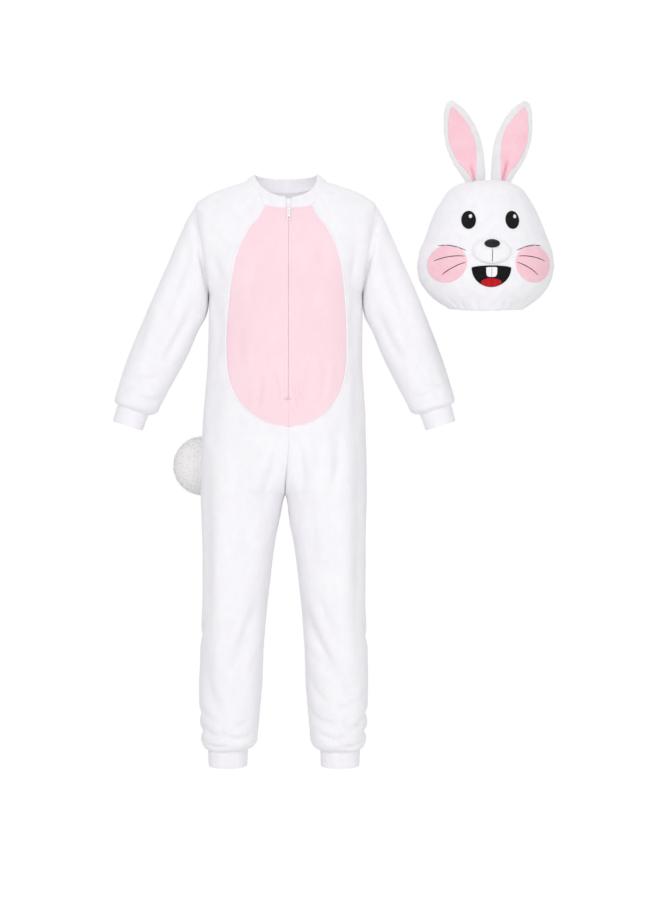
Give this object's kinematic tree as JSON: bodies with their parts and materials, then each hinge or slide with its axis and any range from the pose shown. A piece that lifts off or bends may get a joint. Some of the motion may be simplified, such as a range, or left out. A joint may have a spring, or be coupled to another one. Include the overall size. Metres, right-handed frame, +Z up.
{
  "type": "rabbit costume",
  "caption": "Adult plush rabbit costume: hollow one-piece jumpsuit with pink belly panels, front zip and fur tail, and a hollow wearable head with upright ears.",
  "frame": {"origin": "middle of the jumpsuit's neck opening, at the base of the neck, where the wearer's shoulders hold it", "axes": "+Z up along the wearer's body, -Y the way the costume faces, +X towards the wearer's left"},
  "size_m": [1.0965, 0.3776, 1.6619],
  "materials": {
    "white_plush": "matt short-pile polyester plush, slightly fuzzy",
    "pink_plush": "matt short-pile polyester plush, pale rose",
    "white_rib": "matt folded fleece band",
    "pink_zip": "woven polyester tape with a nylon coil",
    "zip_metal": "white enamelled zinc, satin",
    "tail_fur": "long fluffy acrylic fur, greyish white",
    "mask_plush": "foam-backed short-pile plush, matt",
    "black_felt": "dense felt, matt",
    "black_satin": "stuffed satin, soft sheen",
    "white_felt": "dense felt, matt",
    "red_felt": "dense felt, matt"
  },
  "bodies": {
    "costume": {"front_right": "white_plush", "front_left": "white_plush", "back_right": "white_plush", "back_left": "white_plush", "front_leg_right": "white_plush", "front_leg_left": "white_plush", "back_leg_right": "white_plush", "back_leg_left": "white_plush", "sleeve_right": "white_plush", "sleeve_left": "white_plush", "belly_right": "pink_plush", "belly_left": "pink_plush", "collar": "white_rib", "wrist_cuff_right": "white_rib", "wrist_cuff_left": "white_rib", "ankle_cuff_right": "white_rib", "ankle_cuff_left": "white_rib", "zip_tape": "pink_zip", "zip_chain": "pink_zip", "zip_guard": "white_rib", "bar_tack": "pink_zip", "zip_slider": "zip_metal", "tail": "tail_fur", "mask_face": "mask_plush", "mask_back": "mask_plush", "mask_muzzle": "mask_plush", "mask_nose": "black_satin", "mask_mouth": "black_felt", "mask_teeth": "white_felt", "mask_tongue": "red_felt", "mask_eye_right": "black_felt", "mask_eye_left": "black_felt", "mask_cheek_right": "pink_plush", "mask_cheek_left": "pink_plush", "ear_right": "mask_plush", "ear_left": "mask_plush", "ear_lining_right": "pink_plush", "ear_lining_left": "pink_plush"},
    "zip_pull_tab": {"zip_pull": "zip_metal"}
  },
  "joints": [
    {"name": "zip_pull_hinge", "type": "hinge", "parent": "costume", "child": "zip_pull_tab", "pos_m": [0.0095, -0.09945, -0.06345], "axis": [-1, 0, 0], "range_deg": [0, 150]}
  ]
}
